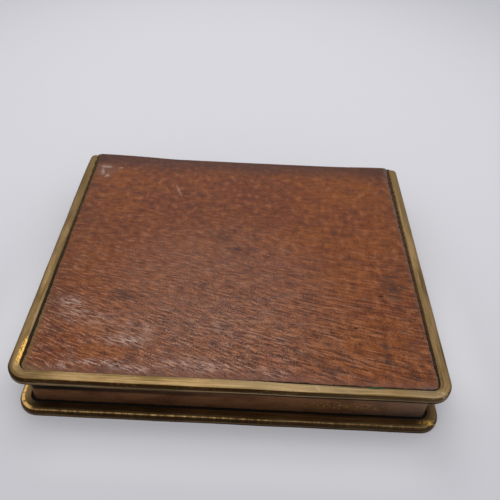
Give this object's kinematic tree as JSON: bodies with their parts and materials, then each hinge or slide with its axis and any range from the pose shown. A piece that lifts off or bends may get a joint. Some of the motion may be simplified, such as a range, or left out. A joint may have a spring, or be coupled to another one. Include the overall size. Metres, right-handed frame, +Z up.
{
  "type": "cigarette case",
  "caption": "Book-form cigarette case: shallow brass tray with leather-faced covers edged in folded brass, the lid hinged along the back under the leather.",
  "frame": {"origin": "centre of the underside of the closed case", "axes": "+X along the hinge to the right, +Y to the back where the hinge is, +Z up out of the lid"},
  "size_m": [0.09, 0.08, 0.013],
  "materials": {
    "rim_brass": "aged and rubbed",
    "tray_brass": "dark brown tarnish",
    "gilt_brass": "satin",
    "steel": "drawn wire",
    "leather": "worn, fine straight grain",
    "card": "matt",
    "elastic": "woven"
  },
  "bodies": {
    "base": {"base_rim": "rim_brass", "base_plate": "gilt_brass", "base_leather": "leather", "spine_leather": "leather", "hinge_leather": "leather", "spine_board": "card", "tray_wall": "tray_brass", "tray_back_wall": "gilt_brass", "base_knuckle_1": "gilt_brass", "base_knuckle_2": "gilt_brass", "base_knuckle_3": "gilt_brass", "base_knuckle_4": "gilt_brass", "hinge_pin": "steel", "band": "elastic", "band_anchor_left": "gilt_brass", "band_anchor_right": "gilt_brass", "band_rivet_left_front": "gilt_brass", "band_rivet_left_back": "gilt_brass", "band_rivet_right_front": "gilt_brass", "band_rivet_right_back": "gilt_brass"},
    "lid": {"lid_rim": "rim_brass", "lid_plate": "gilt_brass", "lid_leather": "leather", "lid_flange": "gilt_brass", "lid_knuckle_1": "gilt_brass", "lid_knuckle_2": "gilt_brass", "lid_knuckle_3": "gilt_brass"}
  },
  "joints": [
    {"name": "lid_hinge", "type": "hinge", "parent": "base", "child": "lid", "pos_m": [0, 0.03845, 0.01145], "axis": [-1, 0, 0], "range_deg": [0, 130], "deforming": ["hinge_leather"]}
  ]
}
